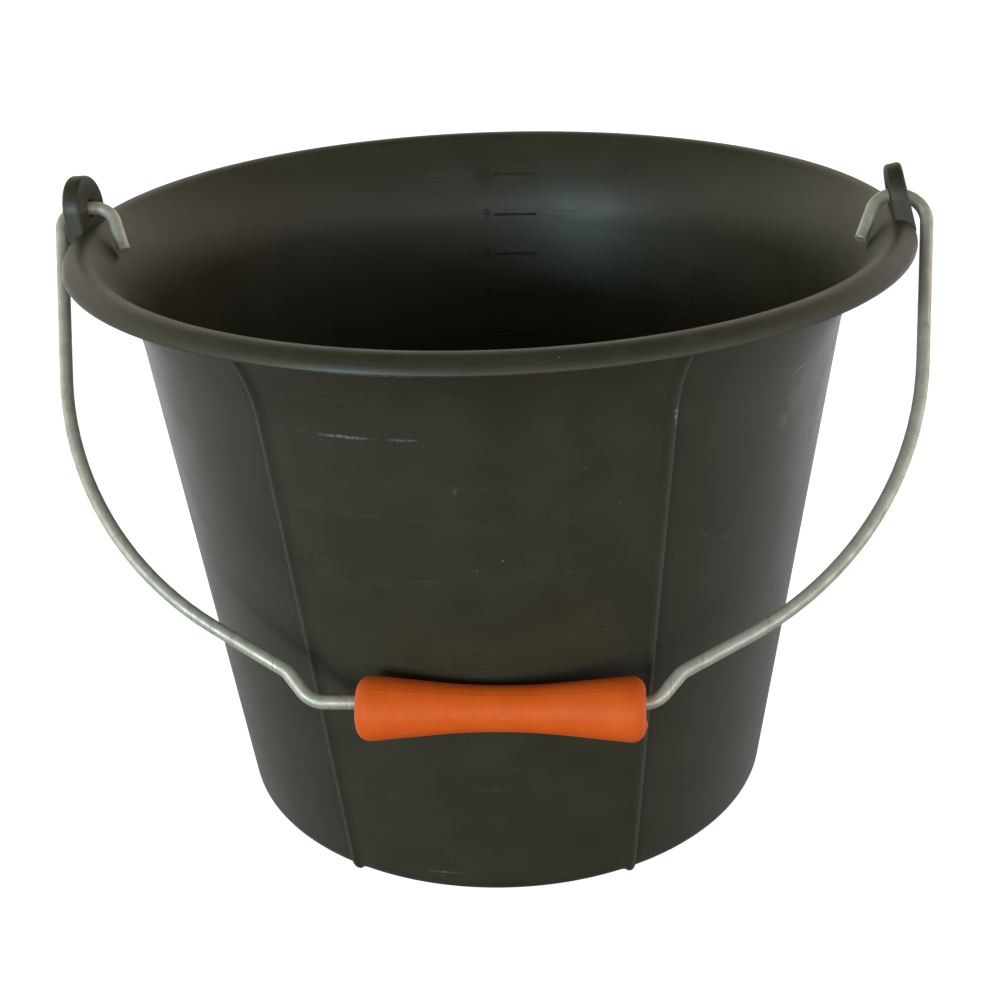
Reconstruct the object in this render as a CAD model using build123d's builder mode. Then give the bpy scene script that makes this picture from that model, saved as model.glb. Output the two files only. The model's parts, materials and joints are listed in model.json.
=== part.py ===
"""Plastic bucket of about eleven litres with a wire bail and a loose hand grip.

Millimetres, +Z up, the foot ring stands on Z = 0 and the bucket's axis is the Z axis.
The ears are on the X axis and the bail hangs down over the front, which is -Y.
"""
import os
from math import acos, asin, atan2, cos, degrees, pi, radians, sin, sqrt, tan

from build123d import *

# Bucket wall and floor
base_radius = 108.9         # outside of the wall, carried down to the ground
wall_taper = 7.56           # degrees from upright
wall = 2.4                  # thickness of the whole moulding
corner_radius = 8.0         # outside corner between wall and floor
foot_ring_width = 6.0       # flat ring that stands on the ground
foot_recess = 3.5           # height of the floor's underside above the ground

# Lip
lip_height = 237.0          # top of the lip above the ground
lip_reach = 22.1            # how far the lip stands out past the line of the wall
lip_roll = 7.3              # outside radius of the rolled lip
lip_hang = 5.8              # top of the lip down to its free edge
lip_edge_round = 0.8        # rounding of the free edge
flare_radius = 60.0         # inside curve that leads from the wall to the lip

# Ribs on the outside of the wall
rib_angles = (-120.4, -59.6, 59.6, 120.4)   # degrees from +X, seen from above
rib_height = 1.5            # how far a rib stands off the wall
rib_width = 2.6

# Ears
pivot_rise = 6.5            # centre of the ear hole above the top of the lip
ear_radius = 12.6           # rounded top, about the hole
ear_foot_width = 31.0
ear_foot_thickness = 8.4    # the outer face at the foot is flush with the edge of the lip
ear_top_thickness = 6.0
ear_edge_round = 0.9
ear_hole_radius = 5.2
ear_leans = {-1: -3.5, 1: 13.0}     # degrees inward, left ear and right ear

# Level bars on the inside of the back wall
level_first = 3             # litres at the lowest bar
level_headroom = 12.0       # least space between the highest bar and the top of the lip
litre = 1.0e6               # cubic millimetres
level_bar_height = 1.2
level_bar_relief = 0.5
level_bar_start = 84.8      # degrees from +X, seen from above
level_bar_sweep = 8.4

# Wire bail, in its own plane: across is along X and reach is away from the pivot
wire_diameter = 5.0
bail_reach = 194.8          # pivot to the straight run under the grip
leg_gap = 0.5               # clear space between a leg and the lip
leg_leans = {-1: 7.2, 1: 4.9}       # degrees inward, away from the pivot, left leg and right leg
shoulder_slopes = {-1: 30.3, 1: 28.9}   # degrees between a shoulder and the straight run
shoulder_bend = 130.0
kink_slope = 50.0           # degrees between the kink and the straight run
kink_reach = 11.0           # length of the kink along the reach
kink_bend_outer = 9.0
kink_bend_inner = 11.0
run_side_step = 1.7         # the uneven legs carry the straight run to the right
leg_bends = {-1: 8.0, 1: 11.0}      # left leg and right leg
hook_bend = 9.5
hook_setback = 14.2         # corner of the hook, in from the edge of the lip
hook_length = 20.0
hook_lean = 21.0            # degrees inward
tip_chamfer = 0.4

# Hand grip
grip_length = 101.0
grip_waist_radius = 8.1
grip_waist_bend = 228.0
grip_flare = 5.7            # degrees that the grip widens towards its ends
grip_end_round = 5.0
grip_bore_radius = 5.0
grip_play = 9.6             # free length left on the straight run
grip_side_step = 8.2        # the grip lies towards the right-hand kink
grip_bore_gap = 0.5         # clear space where the grip hangs on the wire
grip_wall_gap = 1.2         # clear space between the resting grip and the bucket

# Directions along the wall and straight out of it, in the half section (radius, height)
taper = radians(wall_taper)
along = Vector(sin(taper), cos(taper))
outward = Vector(cos(taper), -sin(taper))
wall_foot = Vector(base_radius, 0)

# Corner at the foot of the wall
corner_centre = Vector(base_radius - corner_radius * (1 - sin(taper)) / cos(taper), corner_radius)
recess_radius = corner_centre.X - foot_ring_width - foot_recess

# Roll of the lip, and the flare that runs smoothly from the wall into it
rim_radius = base_radius + lip_height * tan(taper) + lip_reach
roll_centre = Vector(rim_radius - lip_roll, lip_height - lip_roll)
flare_to_roll = flare_radius - lip_roll
flare_out = (wall_foot - roll_centre).dot(outward) - wall + flare_radius
flare_down = sqrt(flare_to_roll**2 - flare_out**2)
flare_centre = roll_centre + outward * flare_out - along * flare_down
flare_end = (roll_centre - flare_centre).normalized()
flare_end_angle = degrees(atan2(flare_end.Y, flare_end.X))
flare_turn = flare_end_angle - (180 - wall_taper)
lip_end_angle = degrees(asin((lip_roll - lip_hang) / lip_roll))


def on_circle(centre, radius, angle):
    """Point on a circle at an angle in degrees."""
    return centre + Vector(cos(radians(angle)), sin(radians(angle))) * radius


def draw_skin(inset):
    """Half section from the axis to the edge of the lip, inset from the outer skin."""
    step = inset * tan(pi / 8)
    floor = Polyline(
        (0, foot_recess + inset),
        (recess_radius + step, foot_recess + inset),
        (recess_radius + foot_recess + step, inset),
        (corner_centre.X, inset),
    )
    corner = CenterArc(corner_centre, corner_radius - inset, -90, 90 - wall_taper)
    flare_inset = flare_radius - wall + inset
    flare = CenterArc(flare_centre, flare_inset, 180 - wall_taper, flare_turn)
    Line(corner @ 1, flare @ 0)
    roll_turn = lip_end_angle - flare_end_angle
    roll = CenterArc(roll_centre, lip_roll - wall + inset, flare_end_angle, roll_turn)
    return floor @ 0, roll @ 1


def upright_plane(angle):
    """Plane through the bucket's axis, its X direction pointing outward at an angle."""
    turn = radians(angle)
    return Plane(origin=(0, 0, 0), x_dir=(cos(turn), sin(turn), 0), z_dir=(sin(turn), -cos(turn), 0))


def cone_radius(height):
    """Radius of the inside of the straight wall at a height."""
    return base_radius - wall / cos(taper) + height * tan(taper)


def inner_radius(height):
    """Radius of the inside of the bucket at a height, flare and all."""
    if height < flare_centre.Y + flare_radius * sin(taper):
        return cone_radius(height)
    return flare_centre.X - sqrt(flare_radius**2 - (height - flare_centre.Y) ** 2)


def litres_below(height):
    """Volume that fills the bucket to a height."""
    cone_difference = cone_radius(height) ** 3 - cone_radius(foot_recess + wall) ** 3
    return pi * cone_difference / (3 * tan(taper) * litre)


def level_height(litres):
    """Height to which a volume fills the bucket."""
    filled_cube = cone_radius(foot_recess + wall) ** 3 + 3 * tan(taper) * litres * litre / pi
    return (filled_cube ** (1 / 3) - cone_radius(0)) / tan(taper)


# Everything inside the middle of the moulding: the ribs stop there
with BuildPart() as core:
    with BuildSketch(Plane.XZ):
        with BuildLine():
            floor_start, lip_finish = draw_skin(wall / 2)
            above_lip = lip_height + pivot_rise
            Polyline(lip_finish, (rim_radius, above_lip), (0, above_lip), floor_start)
        make_face()
    revolve(axis=Axis.Z)

# Four ribs: up the wall from the foot corner and out along the flare to the underside of the lip
rib_foot_radius = corner_radius + rib_height
rib_foot_angle = -degrees(asin(corner_radius / rib_foot_radius))
crest_flare_radius = flare_radius - wall - rib_height
with BuildPart() as ribs:
    for rib_angle in rib_angles:
        with BuildSketch(upright_plane(rib_angle)):
            with BuildLine():
                foot = CenterArc(
                    corner_centre, rib_foot_radius, rib_foot_angle, -wall_taper - rib_foot_angle
                )
                crest_top = CenterArc(flare_centre, crest_flare_radius, 180 - wall_taper, flare_turn)
                Line(foot @ 1, crest_top @ 0)
                Polyline(
                    crest_top @ 1,
                    (recess_radius, (crest_top @ 1).Y),
                    (recess_radius, 0),
                    foot @ 0,
                )
            make_face()
        extrude(amount=rib_width / 2, both=True)
    add(core.part, mode=Mode.SUBTRACT)

# Two ears: rounded tabs that stand on the lip and lean, each with a hole for the bail
pivot_height = lip_height + pivot_rise
ear_foot = lip_height - lip_hang
ear_parts = []
for side, lean in ear_leans.items():
    lean_sine, lean_cosine = sin(radians(lean)), cos(radians(lean))
    ear_drop = (pivot_height - ear_foot) / lean_cosine
    ear_middle = rim_radius - ear_foot_thickness / (2 * lean_cosine) - ear_drop * lean_sine
    ear_centre = (side * ear_middle, 0, pivot_height)
    ear_face = (side * lean_cosine, 0, lean_sine)
    with BuildPart() as ear:
        with BuildSketch(Plane(origin=ear_centre, x_dir=(0, side, 0), z_dir=ear_face)):
            Circle(ear_radius)
            with Locations((0, -ear_drop)):
                Rectangle(ear_foot_width, lip_edge_round, align=(Align.CENTER, Align.MIN))
            make_hull()
        extrude(amount=ear_foot_thickness, both=True)
        with BuildSketch(Plane(origin=ear_centre, x_dir=ear_face, z_dir=(0, -side, 0))):
            with BuildLine():
                Polyline(
                    (-ear_foot_thickness / 2, -ear_drop),
                    (ear_foot_thickness / 2, -ear_drop),
                    (ear_top_thickness / 2, ear_radius),
                    (-ear_top_thickness / 2, ear_radius),
                    close=True,
                )
            make_face()
        extrude(amount=ear_foot_width, both=True, mode=Mode.INTERSECT)
        broad_faces = ear.faces().sort_by(SortBy.AREA)[-2:]
        broad_edges = broad_faces[0].edges() + broad_faces[1].edges()
        least_height = ear_foot + ear_foot_thickness / 2
        rounded_edges = [edge for edge in broad_edges if edge.center().Z > least_height]
        fillet(rounded_edges, ear_edge_round)
        with BuildSketch(Plane.YZ):
            with Locations((0, pivot_height)):
                Circle(ear_hole_radius)
        extrude(amount=side * (rim_radius + ear_radius), mode=Mode.SUBTRACT)
    ear_parts.append(ear.part)

# Bucket: floor, wall and lip in one turned section, with the ribs, ears and level bars
with BuildPart() as bucket_shell:
    with BuildSketch(Plane.XZ) as section:
        with BuildLine():
            outer_start, outer_finish = draw_skin(0)
            inner_start, inner_finish = draw_skin(wall)
            Line(outer_start, inner_start)
            Line(outer_finish, inner_finish)
        make_face()
        lip_corners = section.vertices().sort_by(lambda corner: corner.X)[-2:]
        fillet(lip_corners, lip_edge_round)
    revolve(axis=Axis.Z)
    add(ribs.part)
    add(ear_parts)
    level_last = int(litres_below(lip_height - level_headroom))
    for litres in range(level_first, level_last + 1):
        bar_height = level_height(litres)
        bar_middle = inner_radius(bar_height) - level_bar_relief + wall / 4
        with BuildSketch(upright_plane(level_bar_start)):
            with Locations((bar_middle, bar_height)):
                Rectangle(wall / 2, level_bar_height)
        revolve(axis=Axis.Z, revolution_arc=level_bar_sweep)
bucket_shell.part.label = "bucket_shell"

# The bail rests where the waist of the grip meets the front wall
grip_reach = bail_reach + grip_bore_radius - wire_diameter / 2 - grip_bore_gap
rest_span = wall_foot.dot(outward) + pivot_height * sin(taper) + grip_waist_radius + grip_wall_gap
rest_drop = taper + acos(rest_span / grip_reach)
pivot = Vector(0, 0, pivot_height)
reach_direction = Vector(0, -cos(rest_drop), -sin(rest_drop))
bail_plane = Plane(origin=pivot, x_dir=(1, 0, 0), z_dir=(0, sin(rest_drop), -cos(rest_drop)))

# Places along the wire that both sides share
lip_crossing = (pivot_height - roll_centre.Y) / sin(rest_drop)
hook_across = rim_radius - hook_setback
run_half = (grip_length + grip_play) / 2 + kink_bend_inner * tan(radians(kink_slope / 2))


def bail_corners(side):
    """Corners of the wire on one side, from the hook's tip to the straight run."""
    lean = tan(radians(leg_leans[side]))
    fall = tan(radians(shoulder_slopes[side]))
    leg_across = rim_radius + leg_gap + wire_diameter / 2 + lip_crossing * lean
    run_across = run_half + side * run_side_step
    kink_across = run_across + kink_reach / tan(radians(kink_slope))
    kink_down = bail_reach - kink_reach
    shoulder_across = (leg_across - lean * (kink_down + fall * kink_across)) / (1 - lean * fall)
    tip_across = hook_across - hook_length * sin(radians(hook_lean))
    corners = [
        (tip_across, hook_length * cos(radians(hook_lean))),
        (hook_across, 0),
        (leg_across, 0),
        (shoulder_across, (leg_across - shoulder_across) / lean),
        (kink_across, kink_down),
        (run_across, bail_reach),
    ]
    return [(side * across, reach) for across, reach in corners]


def bail_bends(side):
    """Radius of the wire's bend at each corner of one side, from the hook to the straight run."""
    return [hook_bend, leg_bends[side], shoulder_bend, kink_bend_outer, kink_bend_inner]


# Bail: one round wire bent in one plane
with BuildPart() as wire_bail:
    with BuildLine(bail_plane) as wire_line:
        FilletPolyline(
            *bail_corners(1),
            *bail_corners(-1)[::-1],
            radius=bail_bends(1) + bail_bends(-1)[::-1],
        )
    wire = wire_line.wire()
    with BuildSketch(Plane(origin=wire @ 0, z_dir=wire % 0)):
        Circle(wire_diameter / 2)
    sweep(path=wire)
    cut_ends = wire_bail.faces().filter_by(GeomType.PLANE)
    chamfer(cut_ends.edges(), tip_chamfer)
wire_bail.part.label = "wire_bail"

# Hand grip: waisted tube turned about its own axis, hanging on the straight run of the wire
grip_plane = Plane(
    origin=pivot + reach_direction * grip_reach + Vector(grip_side_step, 0, 0),
    x_dir=(1, 0, 0),
    z_dir=bail_plane.z_dir,
)
half_length = grip_length / 2
flare_slope = radians(grip_flare)
crease_radius = grip_waist_radius - grip_waist_bend * (1 / cos(flare_slope) - 1)
grip_end_radius = crease_radius + half_length * tan(flare_slope)
with BuildPart() as hand_grip:
    with BuildSketch(grip_plane) as grip_section:
        with BuildLine():
            body = FilletPolyline(
                (-half_length, grip_end_radius),
                (0, crease_radius),
                (half_length, grip_end_radius),
                radius=grip_waist_bend,
            )
            Polyline(
                body @ 1,
                (half_length, grip_bore_radius),
                (-half_length, grip_bore_radius),
                body @ 0,
            )
        make_face()
        end_corners = grip_section.vertices().sort_by(Axis.Y)[-2:]
        fillet(end_corners, grip_end_round)
    revolve(axis=Axis(grip_plane.origin, grip_plane.x_dir))
hand_grip.part.label = "hand_grip"

os.makedirs("parts", exist_ok=True)
export_step(bucket_shell.part, "parts/bucket_shell.step")
export_step(wire_bail.part, "parts/wire_bail.step")
export_step(hand_grip.part, "parts/hand_grip.step")
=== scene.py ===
"""A plastic bucket with a wire bail and a loose hand grip, dressed over its CAD frame.

Metres, +Z up. The ears are on the X axis and the bail hangs over the front, which is -Y.
Sizes that differ between the sides are kept by side: -1 is the left, 1 the right.
"""
import json
from math import acos, asin, atan2, cos, pi, radians, sin, sqrt, tan

import bmesh
import bpy
from mathutils import Matrix, Vector


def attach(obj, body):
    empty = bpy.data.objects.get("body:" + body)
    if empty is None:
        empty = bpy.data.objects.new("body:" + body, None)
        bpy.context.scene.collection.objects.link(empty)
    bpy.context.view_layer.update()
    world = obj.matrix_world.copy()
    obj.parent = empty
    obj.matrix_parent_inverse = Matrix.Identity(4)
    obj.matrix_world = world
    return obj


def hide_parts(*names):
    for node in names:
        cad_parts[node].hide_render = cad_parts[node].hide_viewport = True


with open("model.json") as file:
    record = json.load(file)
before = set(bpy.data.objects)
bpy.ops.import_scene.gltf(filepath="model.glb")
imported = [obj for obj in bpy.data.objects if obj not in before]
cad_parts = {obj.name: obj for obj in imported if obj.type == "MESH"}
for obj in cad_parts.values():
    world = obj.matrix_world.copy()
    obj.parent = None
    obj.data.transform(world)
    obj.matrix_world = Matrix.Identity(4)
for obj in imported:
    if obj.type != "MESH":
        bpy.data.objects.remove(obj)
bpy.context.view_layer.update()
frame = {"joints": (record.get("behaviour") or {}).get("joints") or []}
joints = {joint["name"]: joint for joint in frame["joints"]}
MM = 0.001
SIDES = {-1: "left", 1: "right"}

# Bucket section
base_radius = 108.9 * MM
taper = radians(7.56)
wall = 2.4 * MM
corner_radius = 8.0 * MM
foot_ring_width = 6.0 * MM
foot_recess = 3.5 * MM
recess_round = 2.0 * MM
lip_height = 237.0 * MM
lip_reach = 22.1 * MM
lip_roll = 7.3 * MM
lip_hang = 5.8 * MM
lip_edge_round = 0.8 * MM
flare_radius = 60.0 * MM

# Ribs
rib_pairs = 2
rib_foot_spreads = {-1: radians(29.5), 1: radians(29.8)}
rib_top_spreads = {-1: radians(31.8), 1: radians(30.2)}
rib_height = 1.5 * MM
rib_root = 0.8 * MM
rib_sink = 0.05 * MM
# Share of a rib's height above which its crest is painted pale as a highlight
rib_crest_share = 0.6
# Section of a rib, steep outside and soft inside (mm across, share of the height; -1 is rooted in the wall)
rib_section = [
    (1.1, -1), (1.1, 0), (0.9, 0.2), (0.62, 0.62), (0.32, 0.92), (0, 1), (-0.4, 0.95), (-0.8, 0.78),
    (-1.2, 0.53), (-1.6, 0.3), (-2.0, 0.16), (-2.6, 0.06), (-3.4, 0.015), (-4.0, 0), (-4.0, -1)]

# Ears; the hole's radii are by face, -1 the inner and 1 the outer
ear_radii = {-1: 12.65 * MM, 1: 12.1 * MM}
ear_foot_width = 26.0 * MM
ear_foot_thicknesses = {-1: 7.6 * MM, 1: 7.8 * MM}
ear_top_thicknesses = {-1: 6.8 * MM, 1: 6.4 * MM}
ear_outer_steps = {-1: 0.0, 1: 0.9 * MM}
ear_turns = {-1: radians(-5.5), 1: radians(-3.5)}
ear_leans = {-1: radians(-3.5), 1: radians(14.5)}
ear_back_slopes = {-1: 0.0, 1: 0.10}
ear_edge_round = 1.4 * MM
ear_hole_radii = {-1: 3.6 * MM, 1: 5.0 * MM}
ear_hole_round = 0.4 * MM
ear_face_shares = (0.3, 0.65)

# Level scale on the inside of the back wall
level_litres = range(3, 11)
level_bar_start = radians(84.8)
level_bar_sweep = radians(8.4)
level_bar_radius = 0.6 * MM
level_bar_relief = 0.5 * MM
# Painted shade on the level scale: bars and numbers are darkened and roughened so they show as the dark
# lines their shadows make
level_bar_painted_shade = 0.55
level_number_size = 7.0 * MM
level_number_turn = radians(-4.1)
level_number_relief = 0.8 * MM
level_number_painted_shade = 0.3

# Wire bail
wire_radius = 2.5 * MM
bail_reach = 194.8 * MM
leg_gap = 0.5 * MM
leg_leans = {-1: tan(radians(7.2)), 1: tan(radians(4.9))}
leg_bends = {-1: 8.0 * MM, 1: 11.0 * MM}
shoulder_slopes = {-1: tan(radians(30.3)), 1: tan(radians(28.9))}
shoulder_bend = 130.0 * MM
kink_slope = radians(50.0)
kink_reach = 11.0 * MM
kink_bend_outer = 9.0 * MM
kink_bend_inner = 11.0 * MM
run_side_step = 1.7 * MM
hook_bend = 9.5 * MM
hook_setback = 14.2 * MM
hook_length = 20.0 * MM
hook_lean = radians(21.0)
tip_chamfer = 0.4 * MM

# Hand grip
grip_length = 101.0 * MM
grip_waist_radius = 8.1 * MM
grip_waist_bend = 228.0 * MM
grip_flare = radians(5.7)
grip_end_round = 5.0 * MM
grip_bore_radius = 5.0 * MM
grip_bore_round = 0.5 * MM
grip_play = 9.6 * MM
grip_seam_turn = radians(63)
grip_seam_half_width = 0.45 * MM
grip_seam_height = 0.08 * MM
grip_seam_root = 0.4 * MM
grip_seam_edge_sink = 0.02 * MM
grip_seam_margin = 0.5 * MM
# Mark of the gate on the right end: place from the grip's middle, then its rounds (out and half width, mm)
gate_place = Vector((grip_length / 2 - 0.3 * MM, -6.6 * MM, -2.2 * MM))
gate_rounds = [(0, 1.7), (0.45, 1.6), (0.7, 1.2), (0.8, 0.5)]
gate_flatness = 0.55

# Fineness of the meshes, in steps
small_round_steps = 5
floor_steps = 10
foot_ring_steps = 4
foot_corner_steps = 9
wall_steps = 26
flare_steps = 22
roll_steps = 22
bucket_segments = 240
rib_foot_angles = range(-88, 0, 8)  # degrees round the foot's corner
rib_wall_steps = 40
rib_flare_steps = 24
rib_fade_steps = 4
ear_columns = 96
bar_steps = 24
bar_sides = 10
number_curve_steps = 6
bend_steps = 20
wire_sides = 24
grip_end_steps = 12
grip_waist_steps = 18
grip_run_steps = 5
grip_bore_steps = 8
grip_segments = 72

# Places that follow from the sizes, in the half section (radius, height)
along_wall = Vector((sin(taper), cos(taper)))
out_of_wall = Vector((cos(taper), -sin(taper)))
wall_foot = Vector((base_radius, 0))
corner_centre = Vector((base_radius - corner_radius * (1 - sin(taper)) / cos(taper), corner_radius))
recess_radius = corner_centre.x - foot_ring_width - foot_recess
rim_radius = base_radius + lip_height * tan(taper) + lip_reach
roll_centre = Vector((rim_radius - lip_roll, lip_height - lip_roll))
flare_out = (wall_foot - roll_centre).dot(out_of_wall) - wall + flare_radius
flare_down = sqrt((flare_radius - lip_roll) ** 2 - flare_out**2)
flare_centre = roll_centre + out_of_wall * flare_out - along_wall * flare_down
flare_start_angle = pi - taper
flare_end_angle = atan2(roll_centre.y - flare_centre.y, roll_centre.x - flare_centre.x)
lip_end_angle = asin((lip_roll - lip_hang) / lip_roll)

# Places of the joints
pivot = Vector(joints["bail_swing"]["pos_m"])
grip_centre = Vector(joints["grip_turn"]["pos_m"])
reach_direction = Vector((0, grip_centre.y - pivot.y, grip_centre.z - pivot.z)).normalized()


# Flat sections
def polar(centre, radius, angle):
    """Point on a circle in a flat section."""
    return Vector((centre.x + radius * cos(angle), centre.y + radius * sin(angle)))


def arc(centre, radius, start, finish, steps):
    """Points along an arc, both ends included."""
    return [polar(centre, radius, start + (finish - start) * i / steps) for i in range(steps + 1)]


def run(start, finish, steps):
    """Points along a straight run, both ends left out, crowded towards the ends."""
    shares = [(1 - cos(pi * i / steps)) / 2 for i in range(1, steps)]
    return [start.lerp(finish, share) for share in shares]


def rounded(before, corner, after, radius, steps=small_round_steps):
    """Points round a corner of a flat section."""
    back, ahead = (before - corner).normalized(), (after - corner).normalized()
    half = acos(max(-1, min(1, back.dot(ahead)))) / 2
    centre = corner + (back + ahead).normalized() * radius / sin(half)
    first, last = corner + back * radius / tan(half), corner + ahead * radius / tan(half)
    start = atan2(first.y - centre.y, first.x - centre.x)
    turn = atan2(last.y - centre.y, last.x - centre.x) - start
    turn = (turn + pi) % (2 * pi) - pi
    return arc(centre, radius, start, start + turn, steps)


def skin(inset):
    """Half section of the bucket from its axis to the lip's edge, inset from the outer skin."""
    step = inset * tan(pi / 8)
    middle = Vector((0, foot_recess + inset))
    recess_top = Vector((recess_radius + step, foot_recess + inset))
    recess_foot = Vector((recess_radius + foot_recess + step, inset))
    ring_edge = Vector((corner_centre.x, inset))
    points = [middle]
    upper_corner = rounded(middle, recess_top, recess_foot, recess_round)
    points += run(middle, upper_corner[0], floor_steps) + upper_corner
    points += rounded(recess_top, recess_foot, ring_edge, recess_round)
    corner = arc(corner_centre, corner_radius - inset, -pi / 2, -taper, foot_corner_steps)
    points += run(points[-1], corner[0], foot_ring_steps) + corner
    flare = arc(flare_centre, flare_radius - wall + inset, flare_start_angle, flare_end_angle, flare_steps)
    points += run(corner[-1], flare[0], wall_steps) + flare
    roll = arc(roll_centre, lip_roll - wall + inset, flare_end_angle, lip_end_angle, roll_steps)
    return points + roll[1:]


def bucket_section():
    """Closed half section of floor, wall and lip, from the axis round the lip and back."""
    outer, inner = skin(0), skin(wall)
    under_edge = rounded(outer[-2], outer[-1], inner[-1], lip_edge_round)
    over_edge = rounded(outer[-1], inner[-1], inner[-2], lip_edge_round)
    edge_points = 4  # at the end of each skin, where the rounds of the edge take over
    return outer[:-edge_points] + under_edge + over_edge + inner[:-edge_points][::-1]


def inner_radius(height):
    """Radius of the inside of the bucket at a height."""
    if height < flare_centre.y + flare_radius * sin(taper):
        return base_radius - wall / cos(taper) + height * tan(taper)
    return flare_centre.x - sqrt(flare_radius**2 - (height - flare_centre.y) ** 2)


def level_height(litres):
    """Height to which a volume fills the bucket."""
    start = inner_radius(0)
    floor = inner_radius(foot_recess + wall)
    return ((floor**3 + 3 * tan(taper) * litres * MM / pi) ** (1 / 3) - start) / tan(taper)


def grip_section():
    """Closed half section of the grip along its own axis (place along, radius)."""
    half = grip_length / 2
    crease = grip_waist_radius - grip_waist_bend * (1 / cos(grip_flare) - 1)
    end = crease + half * tan(grip_flare)
    corners = [Vector((-half, grip_bore_radius)), Vector((-half, end)), Vector((0, crease)),
               Vector((half, end)), Vector((half, grip_bore_radius))]
    bore, outer = (grip_bore_round, small_round_steps), (grip_end_round, grip_end_steps)
    rounds = [bore, outer, (grip_waist_bend, grip_waist_steps), outer, bore]
    points = []
    for i, (radius, steps) in enumerate(rounds):
        piece = rounded(corners[i - 1], corners[i], corners[(i + 1) % len(corners)], radius, steps)
        points += (run(points[-1], piece[0], grip_run_steps) if points else []) + piece
    points += run(points[-1], points[0], grip_bore_steps) + [points[0]]
    return points


# Mesh helpers
def marked(mesh, label, numbers):
    """Mesh with a named value stored at each point."""
    mesh.attributes.new(label, "FLOAT", "POINT").data.foreach_set("value", numbers)
    return mesh


def with_grime(mesh, strength):
    """Mesh marked all over for painted shade, which darkens its colour as if it stood in shadow."""
    return marked(mesh, "painted_shade", [strength] * len(mesh.vertices))


def line_mesh(name, points, **values):
    """Mesh of points joined in a row, with named values stored at each point."""
    mesh = bpy.data.meshes.new(name)
    mesh.from_pydata(points, [(i, i + 1) for i in range(len(points) - 1)], [])
    for label, numbers in values.items():
        marked(mesh, label, numbers)
    return mesh


def ring_mesh(name, *strands):
    """Closed mesh through rings of points, one strand or more.

    A strand that comes back to its first ring is a loop; any other is capped at both ends.
    """
    points, faces = [], []
    for rings in strands:
        start, count = len(points), len(rings[0])
        loop = rings[0] == rings[-1]
        rings = rings[:-1] if loop else rings
        points += [point for ring in rings for point in ring]
        for r in range(len(rings) if loop else len(rings) - 1):
            here, there = start + r * count, start + (r + 1) % len(rings) * count
            for c in range(count):
                after = (c + 1) % count
                faces.append((here + c, here + after, there + after, there + c))
        if not loop:
            faces += [tuple(range(start, start + count)), tuple(range(len(points) - count, len(points)))]
    mesh = bpy.data.meshes.new(name)
    mesh.from_pydata(points, [], faces)
    shape = bmesh.new()
    shape.from_mesh(mesh)
    bmesh.ops.recalc_face_normals(shape, faces=shape.faces)
    shape.to_mesh(mesh)
    shape.free()
    return mesh


def place(name, mesh, body, material=None, crease=40):
    """Piece from a finished mesh, smooth but for its creases, riding on a body."""
    piece = bpy.data.objects.new(name, mesh)
    bpy.context.scene.collection.objects.link(piece)
    if material:
        mesh.materials.clear()
        mesh.materials.append(material)
    mesh.shade_smooth()
    mesh.set_sharp_from_angle(angle=radians(crease))
    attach(piece, body)
    return piece


# Node helpers
def node_group(kind, name, inputs, outputs):
    """Empty node group with named sockets at each end."""
    tree = bpy.data.node_groups.new(name, kind)
    for way, sockets in (("INPUT", inputs), ("OUTPUT", outputs)):
        for label, socket in sockets.items():
            tree.interface.new_socket(label, in_out=way, socket_type="NodeSocket" + socket)
    return tree, tree.nodes.new("NodeGroupInput"), tree.nodes.new("NodeGroupOutput")


def add(tree, kind, settings=None, **links):
    """New node with its settings; each named or numbered socket gets a value or a link."""
    node = tree.nodes.new(kind)
    for key, value in (settings or {}).items():
        setattr(node, key, value)
    for key, value in links.items():
        socket = node.inputs[int(key[1:])] if key[0] == "_" else node.inputs[key.replace("_", " ")]
        if isinstance(value, bpy.types.NodeSocket):
            tree.links.new(value, socket)
        else:
            socket.default_value = value
    return node


def maths(tree, operation, first, second=0.0, third=0.0):
    """Output of one sum on numbers or sockets."""
    return add(tree, "ShaderNodeMath", {"operation": operation}, _0=first, _1=second, _2=third).outputs[0]


def vector_maths(tree, operation, first, second=(0, 0, 0)):
    """Output of one sum on vectors or sockets."""
    node = add(tree, "ShaderNodeVectorMath", {"operation": operation}, _0=first, _1=second)
    return node.outputs["Value" if operation == "LENGTH" else "Vector"]


def ranged(tree, value, low, high, first=0.0, second=1.0):
    """Output of a smooth step from one value to another."""
    return add(tree, "ShaderNodeMapRange", {"interpolation_type": "SMOOTHSTEP"},
               _0=value, _1=low, _2=high, _3=first, _4=second).outputs[0]


def mixed(tree, factor, first, second):
    """Output of a mix of two colours."""
    node = add(tree, "ShaderNodeMix", {"data_type": "RGBA"}, _0=factor)
    for socket, colour in ((node.inputs[6], first), (node.inputs[7], second)):
        if isinstance(colour, bpy.types.NodeSocket):
            tree.links.new(colour, socket)
        else:
            socket.default_value = (*colour, 1)
    return node.outputs[2]


def noise(tree, spot, scale, detail, roughness=0.5):
    """Output of a cloudy noise."""
    node = add(tree, "ShaderNodeTexNoise", Vector=spot, Scale=scale, Detail=detail, Roughness=roughness)
    return node.outputs[0]


# Geometry trees
def geometry_tree(name, **inputs):
    """Empty geometry tree with a geometry socket at each end, named inputs and a material."""
    sockets = {label.replace("_", " "): kind for label, kind in inputs.items()}
    return node_group("GeometryNodeTree", name, {"Geometry": "Geometry", **sockets, "Material": "Material"},
                      {"Geometry": "Geometry"})


def finished(tree, start, finish, shape):
    """Tree whose shape is made real, given the material and put out."""
    whole = add(tree, "GeometryNodeRealizeInstances", Geometry=shape.outputs[0])
    coloured = add(tree, "GeometryNodeSetMaterial", Geometry=whole.outputs[0],
                   Material=start.outputs["Material"])
    tree.links.new(coloured.outputs[0], finish.inputs[0])
    return tree


def stored(tree, label):
    """Output of a value that is stored at each point under a name."""
    return add(tree, "GeometryNodeInputNamedAttribute", {"data_type": "FLOAT"}, Name=label).outputs[0]


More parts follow.
